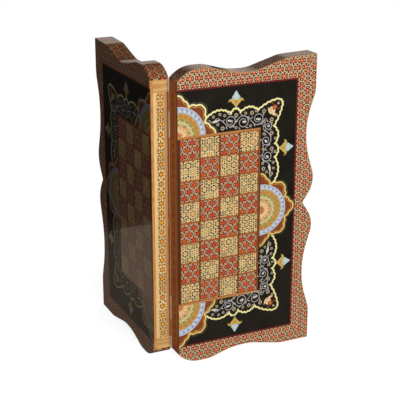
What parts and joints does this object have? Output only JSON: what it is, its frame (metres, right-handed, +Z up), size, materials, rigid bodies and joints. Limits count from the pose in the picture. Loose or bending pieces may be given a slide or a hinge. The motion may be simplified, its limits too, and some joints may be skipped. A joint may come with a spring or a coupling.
{
  "type": "folding chess board",
  "caption": "Folding wooden chess board with wavy edges, star inlay and a black painted field, opened at its spine hinges to a right angle, with a tray in each half.",
  "frame": {"origin": "middle of the opened box's base, on the surface that it stands on", "axes": "+Z up along the hinge axis and the longest side; +X from the hinge along the right half; +Y from the hinge along the left half; the playing faces look along -Y and -X"},
  "size_m": [0.2782, 0.2782, 0.5041],
  "materials": {
    "rail_wood": "satin",
    "ground_wood": "satin",
    "star_inlay": "gloss lacquer",
    "red_wood": "gloss lacquer",
    "black_lacquer": "gloss lacquer",
    "banding_wood": "gloss lacquer",
    "stringing_wood": "gloss lacquer",
    "light_inlay": "gloss lacquer",
    "dark_inlay": "gloss lacquer",
    "edge_inlay": "gloss lacquer",
    "rim_strip_wood": "satin",
    "spine_inlay": "satin",
    "cream_wood": "satin",
    "rim_wood": "satin",
    "playing_wood": "gloss lacquer",
    "light_point_wood": "gloss lacquer",
    "dark_point_wood": "gloss lacquer",
    "lining_wood": "satin",
    "hinge_metal": "satin"
  },
  "bodies": {
    "right_half": {"right_spine_rail": "rail_wood", "right_outer_rail": "rail_wood", "right_top_rail": "rail_wood", "right_bottom_rail": "rail_wood", "right_ground_board": "ground_wood", "right_star_border": "star_inlay", "right_red_fillet": "red_wood", "right_painted_field": "black_lacquer", "right_grid_banding": "banding_wood", "right_grid_stringing": "stringing_wood", "right_light_squares": "light_inlay", "right_dark_squares": "dark_inlay", "right_top_edge_inlay": "edge_inlay", "right_outer_edge_inlay": "edge_inlay", "right_bottom_edge_inlay": "edge_inlay", "right_spine_rim_strip": "rim_strip_wood", "right_spine_star_strip": "spine_inlay", "right_spine_cream_strip": "cream_wood", "right_rim_facing": "rim_wood", "right_playing_surface": "playing_wood", "right_light_points": "light_point_wood", "right_dark_points": "dark_point_wood", "right_wall_lining": "lining_wood", "right_hinge_leaves": "hinge_metal", "right_hinge_screws": "hinge_metal", "hinge_pins": "hinge_metal"},
    "left_half": {"left_spine_rail": "rail_wood", "left_outer_rail": "rail_wood", "left_top_rail": "rail_wood", "left_bottom_rail": "rail_wood", "left_ground_board": "ground_wood", "left_star_border": "star_inlay", "left_red_fillet": "red_wood", "left_painted_field": "black_lacquer", "left_grid_banding": "banding_wood", "left_grid_stringing": "stringing_wood", "left_light_squares": "light_inlay", "left_dark_squares": "dark_inlay", "left_top_edge_inlay": "edge_inlay", "left_outer_edge_inlay": "edge_inlay", "left_bottom_edge_inlay": "edge_inlay", "left_spine_rim_strip": "rim_strip_wood", "left_spine_star_strip": "spine_inlay", "left_spine_cream_strip": "cream_wood", "left_rim_facing": "rim_wood", "left_playing_surface": "playing_wood", "left_light_points": "light_point_wood", "left_dark_points": "dark_point_wood", "left_wall_lining": "lining_wood", "left_hinge_leaves": "hinge_metal", "left_hinge_screws": "hinge_metal"}
  },
  "joints": [
    {"name": "spine_fold", "type": "hinge", "parent": "right_half", "child": "left_half", "pos_m": [-0.10702, -0.10702, 0.2492], "axis": [0, 0, 1], "range_deg": [-90, 90]}
  ]
}
